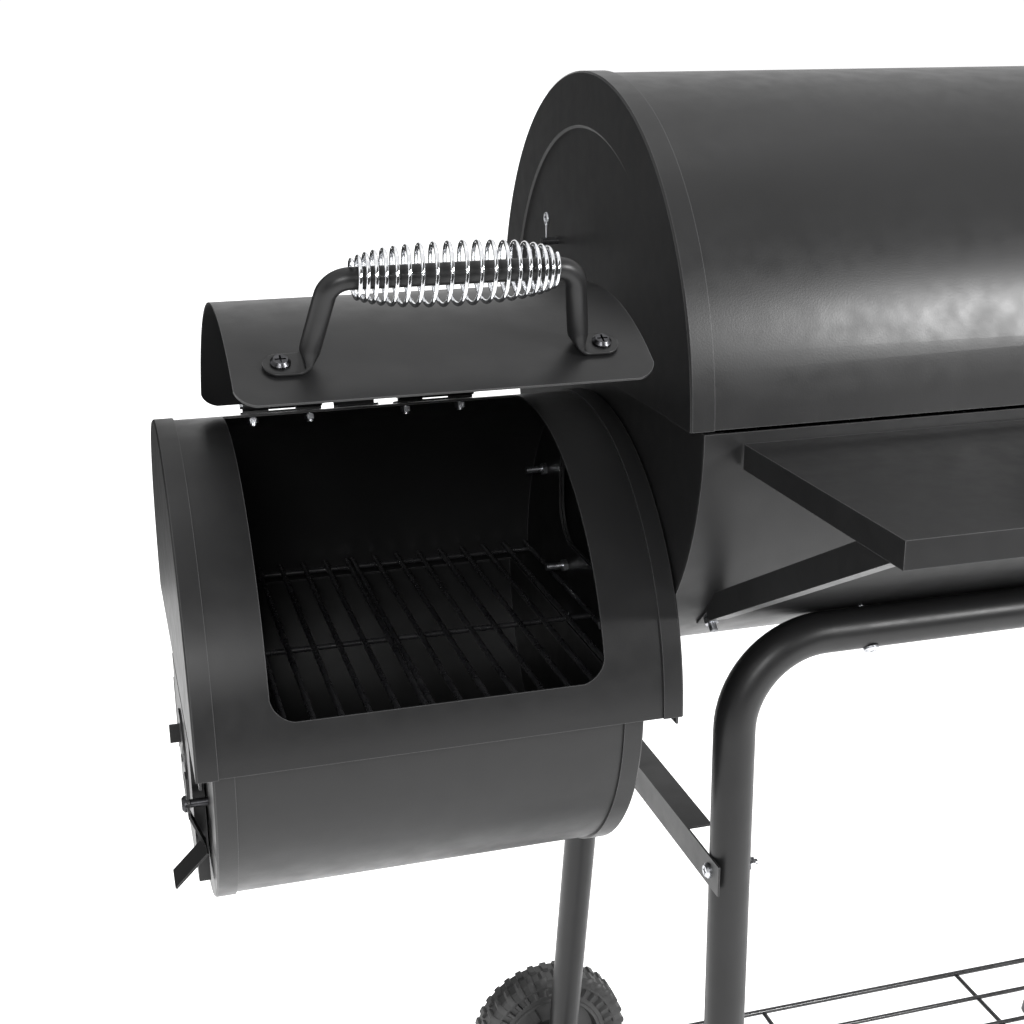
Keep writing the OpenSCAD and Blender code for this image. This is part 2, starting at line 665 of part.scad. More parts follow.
module thermometer_case() color(chrome) on_gauge() {
    difference() {
        rotate_extrude($fn = smooth) polygon([
            [0, 4], [8, 4], [8, 0], [16, 0], [gauge_r - 3, 5], [gauge_r, 8], [gauge_r, 18], [gauge_r - 1.5, 19.5],
            [gauge_r - 5, 19.5], [gauge_r - 5, 7.5], [0, 7.5]
        ]);
        translate([0, 0, -1]) cylinder(r = 1 + running, h = 20, $fn = fine);
    }
    translate([0, 0, -52]) difference() {
        cylinder(r = 4, h = 57, $fn = fine);
        translate([0, 0, 50]) cylinder(r = 1 + running, h = 20, $fn = fine);
    }
}

module thermometer_dial() color(white) on_gauge() translate([0, 0, 7.6]) difference() {
    cylinder(r = gauge_r - 5.2, h = 1, $fn = smooth);
    translate([0, 0, -1]) cylinder(r = 1.6, h = 4, $fn = fine);
}

module thermometer_needle() color([0.7, 0.1, 0.08]) on_gauge() {
    translate([0, 0, 4.2]) cylinder(r = 1, h = 8, $fn = fine);
    translate([0, 0, 10.4]) cylinder(r = 3.2, h = 1.6, $fn = fine);
    rotate([0, 0, 225]) translate([-1, -7, 10.6]) cube([2, 34, 0.9]);
}

module thermometer_glass() color([0.8, 0.88, 0.9, 0.4]) on_gauge()
    translate([0, 0, 15]) cylinder(r = gauge_r - 5.1, h = 2, $fn = smooth);

// ---------------------------------------------------------------- warming rack

rack_x0 = 34;
rack_x1 = lid_len - 34;
rack_front = rack_pin_y - rack_reach;

module warming_rack() at_chamber() color(enamel) {
    difference() {
        rod_x(-12, lid_len + 12, 3, rack_pin_y, rack_pin_z);
        for (x = [-8, lid_len + 8]) rod_z(rack_pin_z - 5, rack_pin_z + 5, 0.9, x, rack_pin_y);
    }
    rod_x(rack_x0, rack_x1, 3, rack_front, rack_pin_z);
    for (x = [rack_x0, rack_x1]) rod_y(rack_front, rack_pin_y, 3, x, rack_pin_z);
    for (i = [1:17]) rod_y(rack_front, rack_pin_y, 2, rack_x0 + i * (rack_x1 - rack_x0) / 18, rack_pin_z);
    for (x = [rack_x0, rack_x1]) rod_z(rack_pin_z - rack_tab, rack_pin_z, 3, x, rack_front);
    rod_x(link_x[0] - 6, rack_x0, 3, rack_front, rack_pin_z - rack_tab);
    rod_x(rack_x1, link_x[1] + 6, 3, rack_front, rack_pin_z - rack_tab);
}

// Flat links that hold the rack level: each turns on a stud and has a loose hole at the rack
module rack_links() at_chamber() color(zinc)
    for (x = link_x) difference() {
        rise = rack_pin_z;
        run = stud_y - rack_front;
        length = sqrt(run * run + rise * rise);
        translate([x - 1.2, stud_y, stud_z]) rotate([180 - atan(rise / run), 0, 0]) union() {
            translate([0, 0, -8]) cube([2.4, length, 16]);
            for (y = [0, length]) rod_x(0, 2.4, 8, y);
        }
        rod_x(x - 5, x + 5, stud_r + running, stud_y, stud_z);
        rod_x(x - 5, x + 5, 3.5, rack_front, rack_pin_z - rack_tab);
    }

// Hitch pins through the ends of the rack's rod, which keep it in the lid
module rack_hitch_pins() at_chamber() color(zinc)
    for (x = [-8, lid_len + 8]) {
        rod_z(rack_pin_z - 7, rack_pin_z + 14, 0.8, x, rack_pin_y);
        translate([x, rack_pin_y, rack_pin_z + 17.6]) rotate([0, 90, 0]) rotate_extrude($fn = fine)
            translate([4, 0]) circle(r = 1.2, $fn = 16);
    }

// ---------------------------------------------------------------- chimney

flange_bolt = 38;
cap_pin_y = 30;

module pipe_path(r, over) {
    rod_x(body_x1 - 8 - over, chimney_x - elbow_r, r, chimney_y, chimney_z);
    translate([chimney_x - elbow_r, chimney_y, chimney_z + elbow_r]) rotate([90, 0, 0]) rotate([0, 0, -90])
        rotate_extrude(angle = 90, $fn = smooth) translate([elbow_r, 0]) circle(r = r, $fn = smooth);
    translate([chimney_x, chimney_y, chimney_z + elbow_r])
        cylinder(r = r, h = chimney_top - 12 - chimney_z - elbow_r + over, $fn = smooth);
}

module chimney_pipe() place() color(black) difference() {
    union() {
        difference() {
            pipe_path(pipe_r, 0);
            pipe_path(pipe_r - sheet, 1);
        }
        block([chimney_x - 7, chimney_y + 24, chimney_top - 15], [chimney_x + 7, chimney_y + pipe_r - 1, chimney_top - 12]);
        block([body_x1 + 0.1, chimney_y - 50, chimney_z - 50], [body_x1 + 0.1 + sheet, chimney_y + 50, chimney_z + 50]);
    }
    rod_x(body_x1 - 20, body_x1 + 10, pipe_r - sheet, chimney_y, chimney_z);
    rod_x(body_x1 - 20, body_x1 + 0.1, pipe_r + 5, chimney_y, chimney_z);
    rod_z(chimney_top - 30, chimney_top, 3, chimney_x, chimney_y + cap_pin_y);
    for (sy = [-1, 1], sz = [-1, 1])
        rod_x(body_x1 - 4, body_x1 + 6, 3.1, chimney_y + sy * flange_bolt, chimney_z + sz * flange_bolt);
}

module chimney_bolts() place() color(zinc) {
    for (sy = [-1, 1], sz = [-1, 1])
        translate([body_x1 + 0.1 + sheet, chimney_y + sy * flange_bolt, chimney_z + sz * flange_bolt])
            rotate([0, 90, 0]) bolt(2 * sheet + 0.1);
    translate([chimney_x, chimney_y + cap_pin_y, chimney_top - 9.2]) cross_screw(3, 14, 6, 3);
}

// Round cover that swings aside on a pin at the back of the pipe
module chimney_cap() place() color(black) translate([chimney_x, chimney_y, chimney_top - 11]) {
    difference() {
        union() {
            cylinder(r = cap_r, h = 1.6, $fn = smooth);
            translate([0, 0, 1.6]) cylinder(r1 = cap_r - 8, r2 = cap_r - 20, h = 5, $fn = smooth);
        }
        translate([0, cap_pin_y, -1]) cylinder(r = 3 + running, h = 12, $fn = fine);
        translate([0, cap_pin_y, 1.7]) cylinder(r = 6.6, h = 12, $fn = fine);
    }
    translate([0, -cap_r + 2, 1.6]) cylinder(r = 5, h = 9.4, $fn = fine);
}

// ---------------------------------------------------------------- firebox

module firebox_lower_shell() at_firebox() color(black)
    tube_shell(fb_low_r - sheet, fb_low_x0 + sheet, fb_low_x1 - sheet, 180 + fb_split, 360 - fb_split);

module lower_firebox_end() end_cap(fb_low_r, fb_band_w, 180 + fb_split, 360 - fb_split, 150, 0.01);

module firebox_lower_left_end() place() color(black) difference() {
    translate([fb_low_x0, fb_y, fb_z]) lower_firebox_end();
    block([fb_low_x0 - 5, door_y0 + 12, door_z0 + 12], [fb_low_x0 + 5, door_y1 - 12, door_z1 - 12]);
    rod_x(fb_low_x0 - 5, fb_low_x0 + 5, 3.1, latch_y, latch_z);
}

module firebox_lower_right_end() place() color(black) difference() {
    translate([fb_low_x1, fb_y, fb_z]) mirror([1, 0, 0]) lower_firebox_end();
    rod_x(fb_low_x1 - 5, fb_low_x1 + 5, 3.1, 28, brace_z + 13);
}

// What has to be cut from a corner at [x, a] on a cylinder to round it; sx and sa point at the corner
module corner_waste(x, a, r, round_r, sx, sa) {
    inset = round_r - 0.4;      // the round crosses both edges at a slight angle and never just touches them
    turn = inset / r * 180 / PI;
    on_arc(x - sx * inset, r, a - sa * turn) difference() {
        translate([sx > 0 ? 0 : -round_r - 2, sa > 0 ? 0 : -round_r - 2, -8]) cube([round_r + 2, round_r + 2, 16]);
        translate([0, 0, -9]) cylinder(r = round_r, h = 18, $fn = smooth);
    }
}

module firebox_upper_shell() at_firebox() color(black) difference() {
    tube_shell(fb_shell_r, fb_left + sheet, fb_right - sheet, fb_split, 180 - fb_split);
    difference() {
        sweep_x(fb_win_a0, fb_win_a1) translate([fb_shell_r - 5, fb_win_x0]) square([10, fb_win_x1 - fb_win_x0]);
        corner_waste(fb_win_x0, fb_win_a0, fb_shell_r, fb_win_round, -1, -1);
        corner_waste(fb_win_x1, fb_win_a0, fb_shell_r, fb_win_round, 1, -1);
    }
    for (x = fb_hinge_x, sx = [-22, 22])
        on_arc(x + sx, fb_shell_r, fb_hinge_a) translate([0, 14, -10]) cylinder(r = 2.6, h = 20, $fn = fine);
}

module upper_firebox_end() end_cap(fb_r, fb_band_w, fb_split, 180 - fb_split, 150, 0.01);

module firebox_upper_left_end() at_firebox() color(black) translate([fb_left, 0, 0]) upper_firebox_end();

module firebox_upper_right_end() place() color(black) difference() {
    translate([fb_right, fb_y, fb_z]) mirror([1, 0, 0]) upper_firebox_end();
    passage(fb_right - 10, fb_right + 5);
    join_holes(fb_right - 10, fb_right + 5);
}

// Turns the firebox lid and what is on it from shut to its open place about the hinge
module opened() place() translate([0, fb_hinge_y, fb_hinge_z]) rotate([-fb_open, 0, 0])
    translate([0, fb_y - fb_hinge_y, fb_z - fb_hinge_z]) children();

fb_lid_t = 1.5;
fb_foot_a = fb_lid_a0 + 9;      // where the firebox handle's feet sit
fb_lid_mid = (fb_lid_x0 + fb_lid_x1) / 2;
lid_corner_r = 16;

// Curved panel with rounded corners
module firebox_lid() color(black) opened() difference() {
    sweep_x(fb_lid_a0, fb_lid_a1) translate([fb_lid_r, fb_lid_x0]) square([fb_lid_t, fb_lid_x1 - fb_lid_x0]);
    for (sa = [-1, 1]) {
        corner_waste(fb_lid_x0, sa < 0 ? fb_lid_a0 : fb_lid_a1, fb_lid_r, lid_corner_r, -1, sa);
        corner_waste(fb_lid_x1, sa < 0 ? fb_lid_a0 : fb_lid_a1, fb_lid_r, lid_corner_r, 1, sa);
    }
    for (side = [-1, 1]) on_arc(fb_lid_mid + side * fb_screw_gap / 2, fb_lid_r, fb_foot_a)
        translate([0, 0, -5]) cylinder(r = 3.1, h = 20, $fn = fine);
}

// Hinge leaves bolted on the firebox behind the opening, with the lid stop between them
module firebox_fixed_hinges() at_firebox() color(black) {
    for (x = fb_hinge_x) on_arc(x, fb_shell_r, fb_hinge_a) {
        translate([0, 0, fb_hinge_lift]) knuckles(true, knuckle_r, leaf_w);
        difference() {
            union() {
                block([-leaf_w / 2, 4, 0.3], [leaf_w / 2, 24, 1.9]);
                for (side = [-1, 1]) block([side > 0 ? leaf_w / 6 + gap : -leaf_w / 2, 3, 0.6],
                    [side > 0 ? leaf_w / 2 : -leaf_w / 6 - gap, 4.6, fb_hinge_lift + 1]);
                for (side = [-1, 1]) block([side > 0 ? leaf_w / 6 + gap : -leaf_w / 2, 2.6, fb_hinge_lift - 1],
                    [side > 0 ? leaf_w / 2 : -leaf_w / 6 - gap, 4.6, fb_hinge_lift + 1]);
            }
            for (sx = [-22, 22]) translate([sx, 14, -5]) cylinder(r = 2.6, h = 20, $fn = fine);
        }
    }
    on_arc(-167, fb_shell_r, fb_hinge_a) {
        block([-16, 5, 0.3], [16, 26, 1.9]);
        block([-16, 24.4, 0.3], [16, 26, 20]);
    }
}

module firebox_hinge_pins() at_firebox() color(zinc)
    for (x = fb_hinge_x) on_arc(x, fb_shell_r + fb_hinge_lift, fb_hinge_a)
        rod_x(-leaf_w / 2 - 2, leaf_w / 2 + 2, pin_r);

module firebox_lid_hinges() color(black) opened()
    for (x = fb_hinge_x) on_arc(x, fb_shell_r, fb_hinge_a) {
        translate([0, 0, fb_hinge_lift]) knuckles(false, knuckle_r, leaf_w);
        block([-leaf_w / 6, -9, 2.3], [leaf_w / 6, -2.6, 4]);
        block([-leaf_w / 6, -4.2, 2.3], [leaf_w / 6, -2.6, fb_hinge_lift + 1]);
        block([-leaf_w / 2, -26, 2.3], [leaf_w / 2, -8, 3.9]);
        for (sx = [-18, 18]) translate([sx, -17, 3.9]) cross_screw(2.5, 1, 4.5, 2.4);
    }

module on_firebox_lid() opened() on_arc(fb_lid_mid, fb_lid_r + fb_lid_t + 0.35, fb_foot_a) children();

module firebox_handle() color(black) on_firebox_lid() handle(fb_screw_gap, fb_handle_h);

module firebox_handle_spring() color(chrome) on_firebox_lid() spring(fb_screw_gap, fb_handle_h);

module firebox_handle_screws() color(enamel) on_firebox_lid() handle_screws(fb_screw_gap, fb_lid_t + 0.4);

fb_grate_z = sheet;             // top of the rim that carries the grates, above the firebox axis
fb_grate_half = 179.5;
fb_grate_split = -158.6;
fb_rim_half = fb_in_r - 0.6;

module firebox_grate_left() at_firebox() color(enamel)
    translate([0, 0, fb_grate_z]) wire_grate(fb_left + 3.6, fb_grate_split - 0.3, 9, fb_grate_half, 2.2);

module firebox_grate_right() at_firebox() color(enamel)
    translate([0, 0, fb_grate_z]) wire_grate(fb_grate_split + 0.3, fb_right - 3.6, 9, fb_grate_half, 2.2);

// Flat rim between the two halves of the firebox, turned down at its ends, on which the grates lie
module firebox_grate_ledges() at_firebox() color(black) {
    difference() {
        block([fb_left + 2, -fb_rim_half, 0], [fb_right - 2, fb_rim_half, sheet]);
        block([fb_low_x0 + 3, 24 - fb_rim_half, -1], [fb_low_x1 - 3, fb_rim_half - 24, sheet + 1]);
    }
    for (x = [fb_left + 2, fb_right - 2 - sheet])
        block([x, 1 - fb_rim_half, -7], [x + sheet, fb_rim_half - 1, sheet]);
}

// Bolts of the firebox: to the cook chamber, through the hinges, and the latch screw
module firebox_bolts() color(zinc) {
    place() for (p = join_bolts)
        translate([body_x0 + sheet, p[0], p[1]]) rotate([0, 90, 0]) bolt(2 * sheet + 0.9, 3, 14);
    at_firebox() for (x = fb_hinge_x, sx = [-22, 22])
        on_arc(x + sx, fb_shell_r, fb_hinge_a) translate([0, 14, 1.9]) bolt(sheet + 2.9, 2.5, 2);
    place() translate([latch_face_x - 1.9, latch_y, latch_z]) rotate([0, -90, 0])
        bolt(fb_low_x0 + sheet - latch_face_x + 1.9, 3, 2);
}

// ---------------------------------------------------------------- side door, latch and air shutter

vent_r = 9;
vent_ring = 23;

module vents(x0, x1) for (i = [0:2])
    rod_x(x0, x1, vent_r, shutter_y + vent_ring * cos(120 * i + 30), shutter_z + vent_ring * sin(120 * i + 30));

// Shallow pressed door on a vertical pin
module side_door() place() color(black) {
    difference() {
        block([door_face_x, door_y0, door_z0], [door_face_x + door_depth, door_y1, door_z1]);
        block([door_face_x + sheet, door_y0 + sheet, door_z0 + sheet],
            [door_face_x + door_depth + 1, door_y1 - sheet, door_z1 - sheet]);
        vents(door_face_x - 5, door_face_x + 5);
    }
    rod_x(door_face_x - 2.6, door_face_x, 3, shutter_y, shutter_z);
    difference() {
        union() {
            rod_z(door_z0 + 24, door_z1 - 24, 4.5, door_pin_x, door_pin_y);
            block([door_pin_x - 2, door_y1 - 0.8, door_z0 + 24], [door_pin_x + 2, door_pin_y, door_z1 - 24]);
        }
        rod_z(door_z0, door_z1, pin_r + running, door_pin_x, door_pin_y);
    }
}

// Rotating shutter plate with a finger tab
module air_shutter() place() color(black) {
    x0 = door_face_x - gap - 1.4;
    difference() {
        rod_x(x0, door_face_x - gap, shutter_r, shutter_y, shutter_z);
        vents(door_face_x - 5, door_face_x + 5);
        rod_x(door_face_x - 5, door_face_x + 5, 3 + running, shutter_y, shutter_z);
    }
    block([x0 - 8, shutter_y - 0.8, shutter_z + shutter_r - 24], [x0 + 0.2, shutter_y + 0.8, shutter_z + shutter_r - 9]);
}

// Flat bar from p to q, [x, z] points, between two values of y
module bar(p, q, y0, y1) {
    n = unit([p[1] - q[1], q[0] - p[0]]) * sheet;
    translate([0, y1, 0]) rotate([90, 0, 0]) linear_extrude(y1 - y0) polygon([p, q, q + n, p + n]);
}

// Sprung lever that hangs clear of the door; a quarter turn brings its nose over the door's edge
module door_latch() place() color(black) difference() {
    translate([latch_face_x - 1.6, latch_y, latch_z]) {
        rod_x(0, 1.6, 9);
        block([0, -7, -9], [1.6, 7, 0]);
        block([0, -6, 0], [1.6, 6, 22]);
        bar([0.2, -8], [9, -32], -6.6, 6.6);
        bar([10.2, -30.6], [-13.4, -54.2], -19, 6.2);
    }
    rod_x(latch_face_x - 10, latch_face_x + 10, 3 + running, latch_y, latch_z);
}

// ---------------------------------------------------------------- front shelf

module front_shelf() place() color(black) difference() {
    block([shelf_x0, shelf_y0, shelf_z - shelf_lip], [shelf_x1, shelf_y1, shelf_z]);
    block([shelf_x0 + sheet, shelf_y0 + sheet, shelf_z - shelf_lip - 1],
        [shelf_x1 - sheet, shelf_y1 + 1, shelf_z - sheet]);
}

bracket_rise = 28;              // angle of the struts under the shelf, from horizontal
foot_angle = 42.4;              // where the struts' feet meet the lower body, below horizontal
tab_angle = foot_angle + 4;     // where their feet are bolted to it
bracket_x = [shelf_x0 + 3, shelf_x1 - 3];
bracket_bolt_x = [bracket_x[0] + 8, bracket_x[1] - 8];

// Folded strut from the lower body up to the shelf, with its foot bolted to the body
module shelf_brackets() place() color(black)
    for (end = [0, 1]) {
        foot_y = -(body_r + 0.3) * cos(foot_angle);
        foot_z = axis_h - (body_r + 0.3) * sin(foot_angle);
        reach = (shelf_z - sheet - 10 - foot_z) / sin(bracket_rise);
        difference() {
            translate([bracket_x[end], 0, 0]) mirror([end, 0, 0]) {
                translate([0, foot_y, foot_z]) rotate([180 - bracket_rise, 0, 0]) mirror([0, 0, 1]) {
                    block([0, 0, -9], [sheet, reach, 9]);
                    block([0, 0, -9], [15, reach, -9 + sheet]);
                }
                translate([0, 0, axis_h]) on_arc(0, body_r, 360 - tab_angle) block([0.4, -9, -1], [15.6, 20, 1.8]);
            }
            translate([-100, 0, axis_h]) rotate([0, 90, 0]) cylinder(r = body_r + 0.2, h = lid_len + 200, $fn = smooth);
            translate([bracket_bolt_x[end], 0, axis_h]) on_arc(0, body_r, 360 - tab_angle)
                translate([0, 0, -10]) cylinder(r = 3.1, h = 20, $fn = fine);
        }
    }

front_leg_frame();
rear_leg_frame();
left_brace();
right_brace();
frame_bolts();
foot_caps();
axle();
axle_caps();
front_wheel();
rear_wheel();
wire_shelf();
chamber_shell();
chamber_left_end();
chamber_right_end();
grate_ledges();
cooking_grate_left();
cooking_grate_right();
charcoal_pan();
pan_guides();
chamber_hinge_leaves();
chamber_hinge_pins();
lid_hinge_leaves();
lid_shell();
lid_left_end();
lid_right_end();
lid_handle();
lid_handle_spring();
lid_handle_screws();
thermometer_case();
thermometer_dial();
thermometer_needle();
thermometer_glass();
warming_rack();
rack_links();
rack_hitch_pins();
chimney_pipe();
chimney_cap();
chimney_bolts();
firebox_lower_shell();
firebox_lower_left_end();
firebox_lower_right_end();
firebox_upper_shell();
firebox_upper_left_end();
firebox_upper_right_end();
firebox_lid();
firebox_fixed_hinges();
firebox_lid_hinges();
firebox_hinge_pins();
firebox_handle();
firebox_handle_spring();
firebox_handle_screws();
firebox_grate_left();
firebox_grate_right();
firebox_grate_ledges();
firebox_bolts();
side_door();
door_latch();
air_shutter();
front_shelf();
shelf_brackets();
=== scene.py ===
"""Offset smoker: looks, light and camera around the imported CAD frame. Every length is in metres."""

import json
import math

import bpy
from mathutils import Matrix, Vector


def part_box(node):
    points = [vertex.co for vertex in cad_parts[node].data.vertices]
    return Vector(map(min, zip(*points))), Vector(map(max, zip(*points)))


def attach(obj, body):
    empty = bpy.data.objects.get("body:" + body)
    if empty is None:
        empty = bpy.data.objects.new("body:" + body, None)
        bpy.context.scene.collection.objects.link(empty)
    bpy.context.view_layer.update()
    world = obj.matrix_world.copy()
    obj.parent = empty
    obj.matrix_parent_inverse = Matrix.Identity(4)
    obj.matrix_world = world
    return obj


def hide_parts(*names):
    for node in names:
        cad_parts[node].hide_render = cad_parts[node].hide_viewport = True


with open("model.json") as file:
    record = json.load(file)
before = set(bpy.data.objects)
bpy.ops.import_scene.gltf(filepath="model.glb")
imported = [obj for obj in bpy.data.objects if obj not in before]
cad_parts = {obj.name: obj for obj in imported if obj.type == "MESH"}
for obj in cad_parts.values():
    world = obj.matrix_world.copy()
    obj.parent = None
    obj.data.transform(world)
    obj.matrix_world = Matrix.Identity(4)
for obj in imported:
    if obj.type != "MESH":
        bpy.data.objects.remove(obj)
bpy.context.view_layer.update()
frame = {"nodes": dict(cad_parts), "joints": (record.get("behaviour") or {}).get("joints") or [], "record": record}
nodes = frame["nodes"]
body_of_node = {n: body for body, names in frame["record"]["behaviour"]["bodies"].items() for n in names}
joints = {j["name"]: j for j in frame["joints"]}

MM = 0.001
TAU = 2 * math.pi


# ---------------------------------------------------------------- camera

EYE = Vector((-0.6247, -1.0269, 1.1947))
YAW, PITCH, ROLL = (math.radians(a) for a in (15.968, 17.94, -0.474))
LENS = 51.98


def make_camera():
    """A camera that looks along +Y, turned by YAW towards +X, PITCH downwards and ROLL about its axis."""
    data = bpy.data.cameras.new("camera")
    data.lens = LENS
    data.sensor_width = 36
    data.clip_start, data.clip_end = 0.02, 60
    camera = bpy.data.objects.new("camera", data)
    bpy.context.scene.collection.objects.link(camera)
    ahead = Vector((math.sin(YAW), math.cos(YAW), 0))
    forward = ahead * math.cos(PITCH) - Vector((0, 0, math.sin(PITCH)))
    level = Vector((math.cos(YAW), -math.sin(YAW), 0))
    above = level.cross(forward)
    right = math.cos(ROLL) * level + math.sin(ROLL) * above
    up = -math.sin(ROLL) * level + math.cos(ROLL) * above
    turn = Matrix((right, up, -forward)).transposed()
    camera.matrix_world = Matrix.Translation(EYE) @ turn.to_4x4()
    bpy.context.scene.camera = camera


# ---------------------------------------------------------------- materials

# the first is how far from a sharp edge the painted edge highlight in the black paint reaches
EDGE_HIGHLIGHT_RADIUS = 0.9 * MM
SHEET_WAVES = 2.2 * MM
ORANGE_PEEL = 0.11 * MM


class Finish:
    """A material and its node tree, with short calls for the nodes that the finishes share."""

    def __init__(self, name):
        self.material = bpy.data.materials.new(name)
        self.material.use_nodes = True
        self.tree = self.material.node_tree
        self.shader = self.tree.nodes["Principled BSDF"]
        self.place = self.add("ShaderNodeTexCoord").outputs["Object"]

    def add(self, kind, **values):
        node = self.tree.nodes.new(kind)
        for key, value in values.items():
            if key in node.inputs:
                node.inputs[key].default_value = value
            else:
                setattr(node, key, value)
        return node

    def join(self, source, target):
        self.tree.links.new(source, target)

    def set(self, **values):
        for key, value in values.items():
            self.shader.inputs[key.replace("_", " ")].default_value = value

    def noise(self, scale, detail=2.0):
        """Noise over the object's own place, with about 1 / scale metres to a blotch."""
        node = self.add("ShaderNodeTexNoise", Scale=scale, Detail=detail)
        self.join(self.place, node.inputs["Vector"])
        return node.outputs["Fac"]

    def spread(self, source, low, high, start=0.3, end=0.7):
        """source between start and end becomes a value between low and high."""
        limits = {"From Min": start, "From Max": end, "To Min": low, "To Max": high}
        node = self.add("ShaderNodeMapRange", **limits)
        self.join(source, node.inputs["Value"])
        return node.outputs["Result"]

    def edges(self, radius):
        """1 on sharp edges and 0 elsewhere."""
        soft = self.add("ShaderNodeBevel", Radius=radius, samples=4)
        flat = self.add("ShaderNodeNewGeometry")
        dot = self.add("ShaderNodeVectorMath", operation="DOT_PRODUCT")
        self.join(soft.outputs["Normal"], dot.inputs[0])
        self.join(flat.outputs["Normal"], dot.inputs[1])
        return self.spread(dot.outputs["Value"], 1, 0, 0.86, 0.99)

    def mix(self, fac, one, two):
        """The colour one where fac is 0 and two where it is 1; both are colours."""
        node = self.add("ShaderNodeMix", data_type="RGBA")
        self.join(fac, node.inputs["Factor"])
        node.inputs[6].default_value = (*one, 1)
        node.inputs[7].default_value = (*two, 1)
        return node.outputs[2]

    def clouds(self, scale, detail, one, two):
        """The surface's colour, in blotches from one to two."""
        blotches = self.spread(self.noise(scale, detail), 0, 1)
        self.join(self.mix(blotches, one, two), self.shader.inputs["Base Color"])

    def vary_roughness(self, scale, detail, low, high):
        self.join(self.spread(self.noise(scale, detail), low, high), self.shader.inputs["Roughness"])

    def bump(self, *layers):
        """Bump from (height, strength, distance) layers, one over the other."""
        last = None
        for height, strength, distance in layers:
            node = self.add("ShaderNodeBump", Strength=strength, Distance=distance)
            self.join(height, node.inputs["Height"])
            if last:
                self.join(last, node.inputs["Normal"])
            last = node.outputs["Normal"]
        self.join(last, self.shader.inputs["Normal"])


def painted():
    """Satin black heat-proof paint: fine orange peel, faint mottling, and a painted highlight that makes sharp
    edges a little lighter.
    """
    f = Finish("black_paint")
    base = f.mix(f.spread(f.noise(7, 4), 0, 1), (0.006, 0.006, 0.0062), (0.009, 0.009, 0.0093))
    # painted highlight: sharp edges turn a lighter grey, standing for the light that catches on their rounded rims
    base_and_edge_highlight = f.mix(f.edges(EDGE_HIGHLIGHT_RADIUS), (0, 0, 0), (0.055, 0.055, 0.056))
    f.join(base, base_and_edge_highlight.node.inputs[6])
    f.join(base_and_edge_highlight, f.shader.inputs["Base Color"])
    f.vary_roughness(60, 3, 0.345, 0.415)
    f.set(Specular_IOR_Level=0.3)
    f.bump((f.noise(5), 0.05, SHEET_WAVES), (f.noise(850), 0.34, ORANGE_PEEL))
    return f.material


def enamelled():
    """Gloss black enamel on wire, a little wavy where it ran."""
    f = Finish("black_enamel")
    f.clouds(40, 3, (0.008, 0.008, 0.009), (0.018, 0.018, 0.019))
    f.vary_roughness(90, 2, 0.22, 0.34)
    f.bump((f.noise(160), 0.3, 0.4 * MM))
    return f.material


def metal(name, dark, light, rough, spread, scale, bump=0.15):
    """Bare or plated metal with a cloudy surface."""
    f = Finish(name)
    f.set(Metallic=1.0)
    f.clouds(scale, 4, dark, light)
    f.vary_roughness(scale * 3, 3, rough - spread, rough + spread)
    f.bump((f.noise(scale * 5), bump, 0.1 * MM))
    return f.material


def moulded(name, dark, light, rough, grain):
    """Moulded plastic or rubber with a fine spark-eroded grain."""
    f = Finish(name)
    f.clouds(30, 4, dark, light)
    f.vary_roughness(120, 3, rough - 0.06, rough + 0.06)
    f.bump((f.noise(grain, 3), 0.35, 0.12 * MM))
    return f.material


def printed_face():
    """White enamelled dial."""
    f = Finish("dial_face")
    f.clouds(300, 2, (0.82, 0.81, 0.77), (0.88, 0.87, 0.84))
    f.vary_roughness(500, 2, 0.28, 0.38)
    return f.material


def clear_glass():
    f = Finish("glass")
    f.set(Base_Color=(1, 1, 1, 1), Transmission_Weight=1.0, IOR=1.45)
    f.vary_roughness(200, 2, 0.0, 0.03)
    return f.material


def make_finishes():
    """One material for each material slot of the record."""
    return {
        "black_paint": painted(),
        "black_enamel": enamelled(),
        "black_screw": metal("black_screw", (0.035, 0.035, 0.037), (0.075, 0.075, 0.08), 0.34, 0.06, 400),
        "chrome": metal("chrome", (0.72, 0.73, 0.75), (0.86, 0.87, 0.89), 0.09, 0.03, 120, 0.05),
        "zinc": metal("zinc", (0.42, 0.43, 0.45), (0.68, 0.69, 0.72), 0.33, 0.08, 260),
        "black_plastic": moulded("black_plastic", (0.014, 0.014, 0.014), (0.028, 0.028, 0.028), 0.5, 1500),
        "dial_face": printed_face(),
        "needle_red": moulded("needle_red", (0.42, 0.02, 0.015), (0.52, 0.03, 0.02), 0.35, 2500),
        "glass": clear_glass(),
    }


# ---------------------------------------------------------------- mesh helpers

def smooth(obj, angle=32):
    """Smooth shading that keeps edges sharper than angle, in degrees."""
    obj.data.polygons.foreach_set("use_smooth", [True] * len(obj.data.polygons))
    obj.data.set_sharp_from_angle(angle=math.radians(angle))


def mesh_piece(name, points, faces, slot, body, angle=32):
    """A new piece from points and faces, in the finish of that slot, that moves with that body."""
    mesh = bpy.data.meshes.new(name)
    mesh.from_pydata([tuple(p) for p in points], [], faces)
    mesh.validate()
    obj = bpy.data.objects.new(name, mesh)
    bpy.context.scene.collection.objects.link(obj)
    obj.data.materials.append(finishes[slot])
    smooth(obj, angle)
    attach(obj, body)
    return obj


def loft(rings, closed=False):
    """Points and faces of a skin over rings of points; an open one is capped at both ends."""
    around, count = len(rings[0]), len(rings)
    points = [p for ring in rings for p in ring]
    faces = []
    for i in range(count if closed else count - 1):
        a, b = i * around, (i + 1) % count * around
        for j in range(around):
            k = (j + 1) % around
            faces.append((a + j, a + k, b + k, b + j))
    if not closed:
        faces.append(tuple(reversed(range(around))))
        faces.append(tuple(range((count - 1) * around, count * around)))
    return points, faces


def centre_of(points):
    return sum(points, Vector()) / len(points)


# ---------------------------------------------------------------- handles

